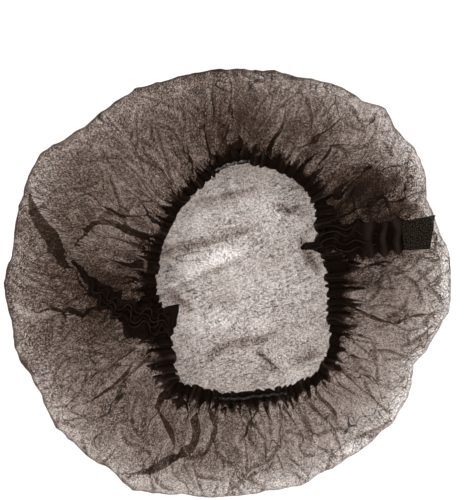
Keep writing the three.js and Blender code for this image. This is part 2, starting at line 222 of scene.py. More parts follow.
# Folds of the skirt, from the mouth outwards: the crest's path in mm, how far its flap lies over
# to the left (or right if negative), its height, and where along it the flap is widest. A small taper
# keeps the flap wide towards its ends, and sheet is how many layers each cloth in it has at least
skirtFolds = [
    dict(path=[(-38, 74), (-55, 94), (-74, 107), (-87, 113)], flap=3.2, lift=3, widest=0.2),
    dict(path=[(-30, 82), (-44, 98), (-50, 114)], flap=-2.8, lift=3, widest=0.2),
    dict(path=[(-46, 64), (-60, 79), (-68, 85)], flap=2.8, lift=3, widest=0.2),
    dict(path=[(-51, 53), (-77, 54), (-93, 59), (-107, 62)], flap=4.5, lift=3, widest=0.5),
    dict(path=[(-20, 89), (-28, 98), (-31, 115)], flap=3.6, lift=3, widest=0.2),
    dict(path=[(-14, 112), (-14, 124), (-16, 147)], flap=-3.2, lift=2, widest=0.5),
    dict(path=[(-9, 92), (-8, 106), (-2, 122), (2, 138)], flap=-4, lift=3, widest=0.3),
    dict(path=[(-90, 33), (-109, 43), (-121, 53)], flap=2.4, lift=2, widest=0.5),
    dict(path=[(-60, 29), (-74, 33), (-87, 40), (-100, 38), (-116, 21)], flap=-7, lift=4, widest=0.45),
    dict(path=[(-59, 11), (-81, 17), (-100, 22)], flap=3, lift=3, widest=0.3),
    dict(
        path=[
            (-115, 13), (-118, 19), (-119, 26), (-124, 38),
            (-132, 46), (-139, 55), (-146, 67), (-150, 79),
        ],
        flap=15.5, lift=5, widest=0.22, taper=0.42, sheet=1.15,
    ),
    dict(
        path=[(-98, -9), (-106, 1), (-110, 9), (-114, 14), (-116, 20)],
        flap=5, lift=4, widest=0.4, sheet=0.9,
    ),
    dict(path=[(-117, 14), (-131, 17), (-138, 26), (-146, 32)], flap=-2.6, lift=3, widest=0.3),
    dict(path=[(-118, 20), (-108, 30), (-96, 40)], flap=2.6, lift=3, widest=0.5),
    dict(path=[(-113, 16), (-107, 30), (-106, 44)], flap=-3.4, lift=3, widest=0.4),
    dict(
        path=[(-94, -22), (-102, -17), (-110, -24), (-118, -17), (-126, -22)],
        flap=2.2, lift=2.5, widest=0.4,
    ),
    dict(path=[(-97, -16), (-110, -9), (-122, -10)], flap=-2.2, lift=2.5, widest=0.4),
    dict(path=[(-124, -25), (-127, -38), (-126, -50)], flap=2.2, lift=2.5, widest=0.3),
    dict(path=[(-106, -28), (-116, -38), (-123, -44)], flap=-2.4, lift=2.5, widest=0.4),
    dict(
        path=[
            (-96, -26), (-103, -21), (-109, -28), (-116, -21),
            (-123, -28), (-131, -22), (-146, -25), (-164, -17),
        ],
        flap=-5, lift=3, widest=0.25, taper=0.35, sheet=0.75,
    ),
    dict(
        path=[(-94, -18), (-103, -15), (-111, -20), (-118, -13), (-127, -18), (-140, -15)],
        flap=2.6, lift=2.5, widest=0.3,
    ),
    dict(path=[(-72, -54), (-80, -65), (-93, -78), (-107, -91)], flap=5, lift=3, widest=0.25, sheet=0.8),
    dict(path=[(-96, -41), (-100, -50), (-98, -56), (-89, -68)], flap=-4.2, lift=3, widest=0.45),
    dict(path=[(-95, -96), (-115, -94), (-128, -86)], flap=3.4, lift=2.5, widest=0.5),
    dict(
        path=[(-9, -89), (-14, -104), (-18, -118), (-24, -128), (-34, -135)],
        flap=6.5, lift=3, widest=0.4,
    ),
    dict(
        path=[(-20, -89), (-28, -101), (-31, -118), (-35, -130)],
        flap=10, lift=4, widest=0.5, taper=0.4, sheet=0.8,
    ),
    dict(
        path=[(-27, -121), (-39, -136), (-53, -145), (-68, -148), (-86, -147)],
        flap=-11, lift=3, widest=0.35, taper=0.5, sheet=0.8,
    ),
    dict(
        path=[(-60, -89), (-56, -98), (-50, -112), (-42, -128)],
        flap=9, lift=4, widest=0.6, sheet=0.75,
    ),
    dict(path=[(-35, -86), (-34, -98), (-39, -110)], flap=3.4, lift=3, widest=0.3),
    dict(path=[(12, -95), (10, -107), (4, -123)], flap=4, lift=2.5, widest=0.3),
    dict(path=[(21, -95), (17, -110), (8, -119)], flap=-4, lift=2.5, widest=0.3),
    dict(path=[(35, -95), (35, -118), (41, -129)], flap=3.4, lift=2.5, widest=0.3),
    dict(path=[(56, -94), (65, -111), (63, -118), (65, -128)], flap=-3, lift=2, widest=0.4),
    dict(path=[(63, -84), (74, -92), (80, -107), (88, -121)], flap=2.4, lift=2.5, widest=0.4),
    dict(path=[(81, -56), (107, -61), (110, -68)], flap=3.6, lift=3, widest=0.3),
    dict(path=[(77, -68), (95, -82), (99, -90)], flap=-3, lift=3, widest=0.3),
    dict(path=[(92, -17), (110, -23), (131, -24), (164, -17)], flap=-5, lift=4, widest=0.3, sheet=0.8),
    dict(path=[(104, -26), (120, -27), (134, -33), (159, -27)], flap=-2.6, lift=3, widest=0.5),
    dict(path=[(21, 94), (28, 108), (35, 116), (39, 127), (40, 138)], flap=-6.5, lift=4, widest=0.2),
    dict(path=[(29, 127), (33, 140), (26, 144), (20, 153)], flap=2.6, lift=2.5, widest=0.3),
    dict(path=[(47, 100), (63, 112), (74, 119), (86, 129)], flap=-5.5, lift=3, widest=0.3),
    dict(path=[(61, 85), (70, 98), (77, 107), (100, 106)], flap=-7, lift=5, widest=0.3),
    dict(path=[(101, 112), (95, 126), (86, 138)], flap=2.4, lift=2, widest=0.4),
    dict(path=[(93, 84), (99, 98), (113, 110)], flap=-2.6, lift=3, widest=0.4),
    dict(path=[(87, 137), (93, 130), (97, 122), (101, 110)], flap=1.8, lift=2.5, widest=0.5),
    dict(path=[(117, 128), (111, 122), (105, 120)], flap=-2.2, lift=2.5, widest=0.3),
    dict(path=[(70, 88), (75, 93), (79, 102)], flap=4, lift=3, widest=0.3),
    dict(path=[(79, 102), (87, 97), (97, 95)], flap=1.6, lift=2, widest=0.5),
    dict(path=[(91, 83), (97, 89), (108, 91), (114, 86), (116, 76)], flap=-3, lift=3, widest=0.4),
    dict(path=[(118, 88), (131, 88), (139, 84), (147, 79)], flap=-2.4, lift=2.5, widest=0.4),
    dict(path=[(79, 92), (84, 86), (94, 83), (95, 78), (101, 70)], flap=2.6, lift=3, widest=0.5),
    dict(path=[(115, 106), (119, 98), (124, 91)], flap=1.6, lift=2, widest=0.5),
    dict(path=[(120, 61), (127, 65), (134, 68)], flap=-1.8, lift=2, widest=0.5),
    dict(path=[(79, 66), (84, 60), (91, 54)], flap=3, lift=3, widest=0.4),
    dict(path=[(95, 54), (98, 59), (106, 59), (109, 52), (103, 49)], flap=-4, lift=4, widest=0.5),
    dict(path=[(111, 75), (109, 66), (115, 58), (120, 54)], flap=4.5, lift=4, widest=0.5),
    dict(path=[(117, 57), (127, 54), (134, 49), (144, 50)], flap=-5, lift=4, widest=0.4),
    dict(path=[(98, 74), (94, 67), (88, 61)], flap=-4, lift=3, widest=0.5),
    dict(path=[(92, 70), (100, 66), (104, 72)], flap=3.4, lift=3, widest=0.5),
    dict(path=[(104, 62), (110, 68), (118, 70), (122, 64)], flap=-3.6, lift=3, widest=0.5),
    dict(path=[(150, 46), (152, 36), (160, 26), (164, 20)], flap=1.8, lift=2, widest=0.3),
    dict(path=[(132, 20), (146, 18), (160, 16)], flap=1.6, lift=2, widest=0.4),
    dict(path=[(112, 12), (118, 2), (121, -8)], flap=1.8, lift=2, widest=0.4),
    dict(path=[(133, 86), (134, 76), (136, 65), (137, 58)], flap=-4.5, lift=3, widest=0.45),
    dict(path=[(108, 80), (129, 87), (146, 84)], flap=2.4, lift=2.5, widest=0.4),
    dict(path=[(84, 19), (100, 16), (118, 19), (133, 12)], flap=-3.6, lift=3, widest=0.5),
    dict(path=[(92, 3), (108, 11), (124, 7)], flap=3.4, lift=3, widest=0.5),
    dict(path=[(98, 48), (106, 57), (118, 58), (122, 70)], flap=5, lift=3, widest=0.4),
    dict(path=[(88, 50), (90, 62), (99, 68)], flap=-4, lift=3, widest=0.4),
    dict(path=[(112, 60), (131, 67), (141, 62)], flap=-3.4, lift=2.5, widest=0.5),
    dict(path=[(150, 25), (156, 14), (158, 2)], flap=2.4, lift=2, widest=0.5),
    dict(path=[(162, -20), (156, -31), (148, -42), (140, -52)], flap=-5, lift=3, widest=0.5, sheet=1),
    dict(path=[(152, -38), (143, -46), (134, -50)], flap=3.4, lift=2.5, widest=0.3, sheet=0.8),
    dict(path=[(144, -54), (138, -62), (134, -72), (132, -80)], flap=-4.4, lift=3, widest=0.5, sheet=1),
    dict(path=[(136, -68), (128, -72), (120, -72)], flap=2.6, lift=2.5, widest=0.3),
    dict(path=[(140, 100), (133, 108), (122, 114)], flap=3, lift=2.5, widest=0.4, sheet=0.8),
    dict(path=[(126, 118), (118, 112), (108, 112)], flap=-2.6, lift=2.5, widest=0.4),
    dict(path=[(150, 78), (144, 70), (141, 58)], flap=3, lift=2.5, widest=0.5, sheet=0.8),
    dict(path=[(112, 128), (104, 122), (98, 112)], flap=2.6, lift=2.5, widest=0.4),
    dict(path=[(160, 4), (150, -2), (138, -3)], flap=2.2, lift=2, widest=0.3),
]

# Softer folds of the crown, seen through the mouth
crownFolds = [
    dict(path=[(-70, -20), (-51, -12), (-15, 4), (17, 18), (40, 22)], flap=3.4, lift=1.4, widest=0.5),
    dict(path=[(-60, 20), (-44, 26), (-6, 36), (28, 47), (35, 54)], flap=-3, lift=1.4, widest=0.6),
    dict(path=[(37, 54), (41, 58), (45, 54), (61, 60)], flap=1.2, lift=1.6, widest=0.5),
    dict(path=[(55, 34), (59, 24), (62, 16), (73, 3)], flap=1.2, lift=1.6, widest=0.5),
    dict(path=[(-20, -62), (0, -50), (26, -46), (50, -30)], flap=2.6, lift=1.2, widest=0.5),
    dict(path=[(22, -53), (33, -66), (44, -72)], flap=1.2, lift=1.2, widest=0.5),
    dict(path=[(52, -62), (59, -58), (71, -53)], flap=-2.2, lift=1.2, widest=0.5),
    dict(path=[(-49, -5), (-38, -17), (-24, -22)], flap=2.2, lift=1.2, widest=0.4),
    dict(path=[(-30, 60), (4, 66), (36, 76)], flap=2.8, lift=1.2, widest=0.5),
]

# Small places where the skirt has pulled thin: middle, length, width in mm, direction in degrees
thinSpots = [
    dict(at=(101, 14), size=(16, 4), turn=15),
    dict(at=(-67, -47), size=(13, 4), turn=-5),
    dict(at=(-66, -4), size=(11, 4), turn=10),
    dict(at=(-60, 17), size=(10, 3), turn=5),
    dict(at=(-49, 59), size=(9, 3), turn=-40),
    dict(at=(140, 41), size=(10, 2), turn=10),
    dict(at=(133, 12), size=(8, 3), turn=20),
]

# Places where more cloth lies under the skirt: middle, length, width in mm, direction in degrees, layers
thickSpots = [
    dict(at=(100, 55), size=(90, 62), turn=10, more=5),
    dict(at=(80, 58), size=(26, 46), turn=0, more=2.5),
    dict(at=(102, 18), size=(70, 18), turn=4, more=2.2),
    dict(at=(98, 4), size=(48, 22), turn=-8, more=1.5),
    dict(at=(155, -33), size=(40, 8), turn=62, more=2),
    dict(at=(139, -63), size=(38, 8), turn=68, more=2),
    dict(at=(145, -44), size=(34, 5), turn=32, more=1.2),
    dict(at=(128, -72), size=(28, 5), turn=20, more=1),
    dict(at=(-80, 4), size=(60, 52), turn=-30, more=2),
    dict(at=(-84, -14), size=(96, 46), turn=-35, more=1.6),
    dict(at=(-112, -22), size=(46, 16), turn=-5, more=1.2),
    dict(at=(22, 112), size=(90, 40), turn=-10, more=0.4),
    dict(at=(-52, -102), size=(50, 30), turn=20, more=0.5),
    dict(at=(-110, 96), size=(40, 24), turn=40, more=0.3),
]

# Paler and darker places of the crown: middle, length, width in mm, direction in degrees, layers
crownSpots = [
    dict(at=(-14, 10), size=(74, 22), turn=22, more=-0.32),
    dict(at=(-19, -31), size=(48, 22), turn=12, more=-0.34),
    dict(at=(-32, 50), size=(56, 26), turn=35, more=-0.24),
    dict(at=(24, 62), size=(50, 20), turn=-15, more=-0.14),
    dict(at=(10, -8), size=(60, 18), turn=25, more=0.05),
    dict(at=(54, -36), size=(40, 54), turn=0, more=0.1),
    dict(at=(9, -58), size=(84, 26), turn=8, more=0.06),
    dict(at=(-40, 24), size=(44, 14), turn=18, more=0.3),
    dict(at=(-40, -14), size=(40, 12), turn=22, more=0.26),
    dict(at=(4, 90), size=(50, 20), turn=0, more=0.1),
]

capCloth = dict(
    skirtColumns=1080,  # three for each column of the crown
    crownRows=[26, 20, 6, 5, 4, 4, 4],  # rows of the mesh in each band of wallRows
    skirtRows=[7, 8, 8, 8, 9, 9, 8, 6],
    gathers=72,  # round the mouth
    rest=0.4,  # height of the crown's cloth over the surface
    crumple=1.3,
    skirtCrest=1.35,  # half width of a fold's crest
    crownCrest=2.4,
    crownLayers=0.88,  # layers of fibres that the single cloth of the crown counts as
    hemLayers=1.3,  # more of the skirt's layers close to the hem
    flapShare=0.38,  # how thick each of the three cloths in a fold is, at least
    flapLess=1.75,
    paleCut=0.67,  # how much of the thickness a pale edge loses
)

# Waves that run out from the hem: gathers in each, shift, height and fading in mm, how far it leans
mouthWaves = [
    (1, 0, 1.5, 7, 1.6),
    (2, 0.3, 1.5, 16, 1.8),
    (4, 0.1, 1.5, 32, 1.8),
    (8, 0.6, 1.8, 60, 1),
]

# Gathers that run out from the hem, strewn round the mouth
rimGathers = dict(count=150, seed=11, shortest=12, longest=74, flap=6.5, lift=2.4, meeting=0.5)


def strewGathers():
    dice = np.random.RandomState(rimGathers["seed"])
    folds = []
    before = 1
    for k in range(rimGathers["count"]):
        at = 360 * (k + dice.uniform(0, 0.9)) / rimGathers["count"]
        reach = dice.uniform() ** 1.9
        length = rimGathers["shortest"] + (rimGathers["longest"] - rimGathers["shortest"]) * reach
        swing, bow = dice.uniform(-0.24, 0.24), dice.uniform(-0.34, 0.34)
        start = float(footAt(np.array(at))) - 3
        path = []
        for j in range(4):
            out = length * j / 3
            across = swing * out + bow * out * (1 - j / 3)
            turn = math.radians(at)
            placeX = (start + out) * math.cos(turn) - across * math.sin(turn)
            placeY = (start + out) * math.sin(turn) + across * math.cos(turn)
            path.append((placeX, placeY))
        size, way = dice.uniform(0.4, 1), dice.choice([-1, 1])
        meets = rimGathers["meeting"] if way != before else 1  # less where it meets its neighbour
        flap = rimGathers["flap"] * size * way * meets
        before = way
        lift = dice.uniform(0.6, 1) * rimGathers["lift"]
        folds.append(dict(path=path, flap=flap, lift=lift, widest=dice.uniform(0.04, 0.12), taper=1.5))
    return folds


# Small creases anywhere on the skirt, most of them running outwards
looseCreases = dict(count=170, seed=5, shortest=14, longest=60, flap=2.0, lift=1.4)


def strewCreases():
    dice = np.random.RandomState(looseCreases["seed"])
    folds = []
    for k in range(looseCreases["count"]):
        at = dice.uniform(0, 360)
        turn = math.radians(at)
        foot, edge = float(footAt(np.array(at))), float(edgeAt(np.array(at)))
        radius = foot + (edge - foot) * dice.uniform(0.15, 0.95)
        heading = turn + dice.normal(0, 0.6)
        length = dice.uniform(looseCreases["shortest"], looseCreases["longest"])
        x, y = radius * math.cos(turn), radius * math.sin(turn)
        path = [(x, y)]
        for j in range(3):
            heading += dice.normal(0, 0.4)
            x, y = x + length / 3 * math.cos(heading), y + length / 3 * math.sin(heading)
            path.append((x, y))
        flap = dice.uniform(0.5, 1) * looseCreases["flap"] * dice.choice([-1, 1])
        folds.append(dict(path=path, flap=flap, lift=looseCreases["lift"], widest=dice.uniform(0.2, 0.7)))
    return folds


strewnFolds = strewGathers() + strewCreases()

# What a fold does to the cloth beside it, in mm
foldMarks = dict(
    margin=12,  # no fold reaches further
    cover=1.9,  # crests that the flap's own cloth is wide
    shade=6,  # half width of the painted shade along it
    line=0.6,  # crests that the sharp line along a fold is wide
    drawn=3.4,  # layers in that line, fewer the wider the flap is
    drawnFlap=2.5,
)


def foldCloth(folds, x, y, ridge):
    # every fold is a ridge of cloth pushed over to one side, so its flap lies on the cloth beside it
    moveX, moveY, rise = np.zeros(x.shape), np.zeros(x.shape), np.zeros(x.shape)
    folded, sheet, shade = np.zeros(x.shape), np.ones(x.shape), np.zeros(x.shape)
    crease = np.zeros(x.shape)
    margin = foldMarks["margin"]
    away = np.hypot(x, y) + 1e-6
    for fold in folds:
        path = smoothPath(fold["path"])
        low, high = path.min(0) - margin, path.max(0) + margin
        near = np.flatnonzero((x > low[0]) & (x < high[0]) & (y > low[1]) & (y < high[1]))
        if not len(near):
            continue
        side, share, leftX, leftY = besidePath(path, x[near], y[near])
        top = fold["widest"]
        grown = np.where(share < top, share / top, (1 - share) / (1 - top))
        size = np.clip(grown, 0, 1) ** fold.get("taper", 0.7)
        # a crest that runs round the cap is broader, as the mesh is coarser that way
        crossing = np.abs(leftX * x[near] + leftY * y[near]) / away[near]
        half = ridge * (1 + 0.9 * crossing)
        bend = size * np.exp(-((side / half) ** 4))
        moveX[near] += fold["flap"] * bend * leftX
        moveY[near] += fold["flap"] * bend * leftY
        rise[near] += fold["lift"] * bend
        covered = ramp(0.05, 0.3, size) * np.exp(-((side / (foldMarks["cover"] * half)) ** 4))
        sheet[near] = np.where(covered > folded[near], fold.get("sheet", 0.5), sheet[near])
        folded[near] = np.maximum(folded[near], covered)
        # painted shade beside the fold
        shade[near] = np.maximum(shade[near], size * np.exp(-((side / foldMarks["shade"]) ** 2)))
        reach = np.minimum(ramp(0, 0.06, share), ramp(1, 0.6, share))
        drawn = foldMarks["drawn"] / (1 + (fold["flap"] / foldMarks["drawnFlap"]) ** 2)
        line = drawn * reach * np.exp(-((side / (foldMarks["line"] * half)) ** 2))
        crease[near] = np.maximum(crease[near], line)
    return moveX, moveY, rise, folded, sheet, shade, crease


def spotShare(spot, x, y):
    # 1 in the middle of an oval spot, falling to 0 outside it
    cos, sin = math.cos(math.radians(spot["turn"])), math.sin(math.radians(spot["turn"]))
    offX, offY = x - spot["at"][0], y - spot["at"][1]
    along, across = offX * cos + offY * sin, offY * cos - offX * sin
    away = (2 * along / spot["size"][0]) ** 2 + (2 * across / spot["size"][1]) ** 2
    return np.exp(-(away**2))


# arc length along the elastic's line, so that gathers and lobes are as wide all the way round
lineAngle = np.linspace(0, 360, 1441)
elasticShare = 0.45  # of the hem's width, from the mouth


def lineAt(angle):
    radius = mouthAt(angle) + elasticShare * hemAt(angle)
    return radius * np.cos(np.radians(angle)), radius * np.sin(np.radians(angle))


lineX, lineY = lineAt(lineAngle)
lineRun = np.concatenate([[0], np.cumsum(np.hypot(np.diff(lineX), np.diff(lineY)))])
lineLength = lineRun[-1]
print("elastic line round the mouth: %.0f mm" % lineLength)


def gatherPhase(angle):
    # which gather a direction falls in, from 0 to the number of gathers, unevenly spaced
    turn = np.radians(angle)
    share = np.interp(np.mod(angle, 360), lineAngle, lineRun) / lineLength
    sway = 0.25 * np.sin(7 * turn + 1) + 0.2 * np.sin(13 * turn + 2) + 0.16 * np.sin(29 * turn)
    return capCloth["gathers"] * share + sway


def crest(phase):
    # a sharp ridge once a turn, from -1 to 1
    return 1 - 2 * np.abs(np.sin(math.pi * phase)) ** 0.8


# how far from the crown's middle each row of the wall is on the flat cloth
meanReach, meanSkirt = 165, 80
sectionOut = meanReach * wallTable[:, 0] - meanSkirt * wallTable[:, 1]
flatRun = np.concatenate([[0], np.cumsum(np.hypot(np.diff(sectionOut), np.diff(wallTable[:, 2])))])


def clothPlace(angle, place):
    # where the cap's cloth lies, in mm, how many layers thick it is, and its place on the flat cloth
    out, inward, height = wallAt(place)
    edge, hemFoot = edgeAt(angle), footAt(angle)
    foot = hemFoot - 0.5 * hemAt(angle)  # the cloth runs on under the hem
    radius = out * edge - inward * (edge - foot)
    turn = np.radians(angle)
    x, y = radius * np.cos(turn), radius * np.sin(turn)
    onSkirt = ramp(6.3, 8.2, place)
    onFloor = 1 - ramp(2.6, 4.2, place)
    onRoll = 1 - onFloor
    z = height + capCloth["rest"]

    # the wall leans out at the bottom and in at the top, and crumples across itself
    near = 0.05
    outB, inwardB, heightB = wallAt(np.minimum(place + near, len(wallTable) - 1))
    outA, inwardA, heightA = wallAt(np.maximum(place - near, 0))
    ahead = (outB - outA) * edge - (inwardB - inwardA) * (edge - foot)
    climb = heightB - heightA
    length = np.hypot(ahead, climb) + 1e-9
    normalOut, normalUp = climb / length, -ahead / length
    spots = np.stack([x, y, z], -1)
    wide = lumps(spots, 34, 1)
    middling = lumps(spots, 15, 2)
    small = lumps(spots, 7, 3)
    creases = (1 - 3.2 * np.abs(middling)) * 0.8 + (1 - 3 * np.abs(small)) * 0.4
    crumple = capCloth["crumple"] * (0.9 * wide + 0.8 * creases) * onRoll
    radius = radius + crumple * normalOut
    z = z + crumple * normalUp * np.where(normalUp < 0, 0.3, 1)
    x, y = radius * np.cos(turn), radius * np.sin(turn)

    # soft waves run out from the hem, fewer and lower the further they go
    beyond = np.clip(radius - hemFoot, 0, None)
    outside = onSkirt * ramp(-6, 1, radius - hemFoot)  # quieter under the hem
    phase = gatherPhase(angle)
    lean = np.tanh(2 * np.sin(3 * turn + 0.6) + 1.4 * np.sin(11 * turn + 2))
    leaning, standing = 0, 0
    for gathers, shift, high, fade, aside in mouthWaves:
        wave = high * crest(phase / gathers + shift) * np.exp(-beyond / fade)
        leaning, standing = leaning + aside * wave, standing + wave
    slide = lean * leaning * outside
    x = x - slide * np.sin(turn)
    y = y + slide * np.cos(turn)
    z = z + 0.6 * standing * outside - 1.5 * (onSkirt - outside)

    moved = foldCloth(skirtFolds + strewnFolds, x, y, capCloth["skirtCrest"])
    moveX, moveY, rise, folded, sheet, shade, crease = moved
    moveX, moveY = moveX * onSkirt, moveY * onSkirt
    x, y, z = x + moveX, y + moveY, z + rise * outside
    moved = foldCloth(crownFolds, x, y, capCloth["crownCrest"])
    floorX, floorY, rise = moved[0] * onFloor, moved[1] * onFloor, moved[2]
    floorShade, floorCrease = moved[5], moved[6]
    x, y, z = x + floorX, y + floorY, z + rise * onFloor
    z = z + onFloor * (0.8 + 0.8 * wide + 0.3 * middling)

    # the skirt is thickest by the hem, in streaks that run outwards, and thin near its edge
    flatRadius = np.interp(place, np.arange(len(wallTable)), flatRun)
    ringX, ringY = np.cos(turn), np.sin(turn)
    broad = lumps(np.stack([14 * ringX, 14 * ringY, flatRadius / 45], -1), 1, 4)
    narrow = lumps(np.stack([38 * ringX, 38 * ringY, flatRadius / 30], -1), 1, 6)
    byHem = np.exp(-beyond / 26)
    averaged = np.sqrt(np.maximum(around(4, angle), 1))  # layers that lie together even each other out
    streaks = (0.55 * broad + 0.6 * narrow) * byHem
    varied = 1 + (0.55 * wide + 0.45 * middling + 0.25 * small) / averaged + streaks
    bright = np.clip(around(5, angle) * (1 + 0.6 * middling), 0, 1)
    thin = 1 - bright * capCloth["paleCut"] * ramp(0.66 - 0.1 * wide, 0.95, 1 - inward)
    skirtLayers = around(4, angle) * np.clip(varied, 0.45, None) * thin
    # more layers by the hem, and painted shade beside each fold
    skirtLayers = skirtLayers + capCloth["hemLayers"] * np.exp(-beyond / 7) + 0.3 * shade
    for spot in thickSpots:
        skirtLayers = skirtLayers + spot["more"] * spotShare(spot, x, y) * np.clip(varied, 0.6, 1.5)
    # three lie together in a fold, so each is thinner than the skirt beside it
    flapLayers = np.maximum(sheet, capCloth["flapShare"] * skirtLayers)
    flapLayers = np.maximum(flapLayers, skirtLayers - capCloth["flapLess"])
    skirtLayers = skirtLayers * (1 - folded) + flapLayers * folded + crease
    for spot in thinSpots:
        skirtLayers = skirtLayers * (1 - 0.85 * spotShare(spot, x, y))

    # the crown has pale and dark spots of its own, and painted shade along its folds
    patch = sum(spot["more"] * spotShare(spot, x, y) for spot in crownSpots)
    mottled = 0.22 * wide + 0.14 * middling + 0.06 * small + 0.2 * floorShade + 0.42 * floorCrease
    crownLayers = np.maximum(capCloth["crownLayers"] + onFloor * (mottled + patch), 0.5)
    crownLayers = crownLayers * (1 - 0.58 * bright * ramp(3.6, 5.4, place))
    turned = ramp(4.6 + 1.7 * bright, 6 + 2 * bright, place)  # from the crown's thickness to the skirt's
    layers = skirtLayers * turned + crownLayers * (1 - turned)
    facing = 0.5 + 0.5 * np.cos(turn - math.radians(135))
    fromEdge = (inward * (edge - foot) + (1 - out) * edge) / 0.85
    outline = (0.5 + 2 * facing) * (1 + 0.5 * middling) * np.exp(-(fromEdge**2))
    layers = layers + outline * ramp(5.4, 6, place)
    flat = np.stack([flatRadius * ringX + moveX + floorX, flatRadius * ringY + moveY + floorY, 0 * x], -1)
    rim = bright * ramp(0.5, 0.85, 1 - inward) * ramp(3.6, 5, place)
    marks = dict(layers=np.clip(layers, 0.15, None), wrinkle=onFloor, rim=rim)
    return np.stack([x, y, np.maximum(z, 0.15)], -1) - capMiddle, flat, marks


def joinedMesh(bm, name):
    mesh = bpy.data.meshes.new(name)
    bm.to_mesh(mesh)
    bm.free()
    return mesh


def gridSheet(name, columns, rows):
    # a flat grid with its across and along shares, ready to be laid out
    bm = bmesh.new()
    bmesh.ops.create_grid(bm, x_segments=columns, y_segments=rows, size=1)
    mesh = joinedMesh(bm, name)
    flat = np.empty(3 * len(mesh.vertices))
    mesh.vertices.foreach_get("co", flat)
    column = np.rint((flat[0::3] + 1) / 2 * columns).astype(int)
    row = np.rint((flat[1::3] + 1) / 2 * rows).astype(int)
    return mesh, column, row


def layOut(mesh, places, flat, marks):
    # the mesh takes its places, its places on the flat cloth, and a number for each mark at every corner
    mesh.vertices.foreach_set("co", (places * mm).ravel())
    flatData = mesh.attributes.new("flat", "FLOAT_VECTOR", "POINT")
    flatData.data.foreach_set("vector", np.ascontiguousarray(flat * mm).ravel())
    for mark in ("layers", "wrinkle", "rim", "wearAndHighlight"):
        values = np.zeros(len(places)) + marks.get(mark, 0)
        markData = mesh.attributes.new(mark, "FLOAT", "POINT")
        markData.data.foreach_set("value", values)
    mesh.update()


def addPiece(mesh, material, nodes):
    piece = bpy.data.objects.new(mesh.name, mesh)
    bpy.context.scene.collection.objects.link(piece)
    mesh.polygons.foreach_set("use_smooth", np.ones(len(mesh.polygons), bool))
    mesh.materials.clear()
    mesh.materials.append(material)
    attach(piece, "root")
    if nodes:
        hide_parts(*nodes)
    print("made", mesh.name, "with", len(mesh.polygons), "faces")
    return piece


def rowPlaces(first, counts):
    places = [first]
    for band, count in enumerate(counts):
        places += [first + band + (k + 1) / count for k in range(count)]
    return np.array(places)


def makeCapCloth():
    columns = capCloth["skirtColumns"]
    joinAt = len(capCloth["crownRows"])
    bm = bmesh.new()

    crownPlaces = rowPlaces(0, capCloth["crownRows"])
    crownMesh, column, row = gridSheet("crown_part", columns // 3, len(crownPlaces) - 1)
    spots, flat, marks = clothPlace(column * 360.0 / (columns // 3), crownPlaces[row])
    layOut(crownMesh, spots, flat, marks)
    bm.from_mesh(crownMesh)
    bpy.data.meshes.remove(crownMesh)
    # the crown's last ring gets the skirt's three times as many corners
    ring = np.flatnonzero(row == row.max())
    ringVerts = set(ring.tolist())
    bm.verts.ensure_lookup_table()
    lastEdges = [e for e in bm.edges if e.verts[0].index in ringVerts and e.verts[1].index in ringVerts]
    bmesh.ops.subdivide_edges(bm, edges=lastEdges, cuts=2)

    skirtPlaces = rowPlaces(joinAt, capCloth["skirtRows"])
    skirtMesh, column, row = gridSheet("skirt_part", columns, len(skirtPlaces) - 1)
    spots, flat, marks = clothPlace(column * 360.0 / columns, skirtPlaces[row])
    grid = np.empty((row.max() + 1, columns + 1), int)
    grid[row, column] = np.arange(len(row))
    step = np.arange(columns)
    low, high, part = grid[0, step // 3 * 3], grid[0, step // 3 * 3 + 3], (step % 3 / 3)[:, None]
    spots[grid[0, :-1]] = spots[low] * (1 - part) + spots[high] * part
    layOut(skirtMesh, spots, flat, marks)
    bm.from_mesh(skirtMesh)
    bpy.data.meshes.remove(skirtMesh)

    bmesh.ops.remove_doubles(bm, verts=bm.verts, dist=0.002 * mm)
    bmesh.ops.recalc_face_normals(bm, faces=bm.faces)
    return joinedMesh(bm, "cap_cloth")


# The web's fibres: cells in a metre, direction in degrees, width and strength of each lay
webFibres = dict(
    lays=[(820, 8, 0.046, 1), (1040, -38, 0.046, 1), (1240, 66, 0.05, 0.95)],
    underLay=(1120, 115, 0.12),
    stretch=3.4,  # how much longer than wide their curls are
    specks=1750,
)
crownWaves = dict(turn=-112, scale=85, bend=6, most=0.37)  # the fine waves across the crown


def markNode(tree, mark):
    node = tree.nodes.new("ShaderNodeAttribute")
    node.attribute_name = mark
    return node


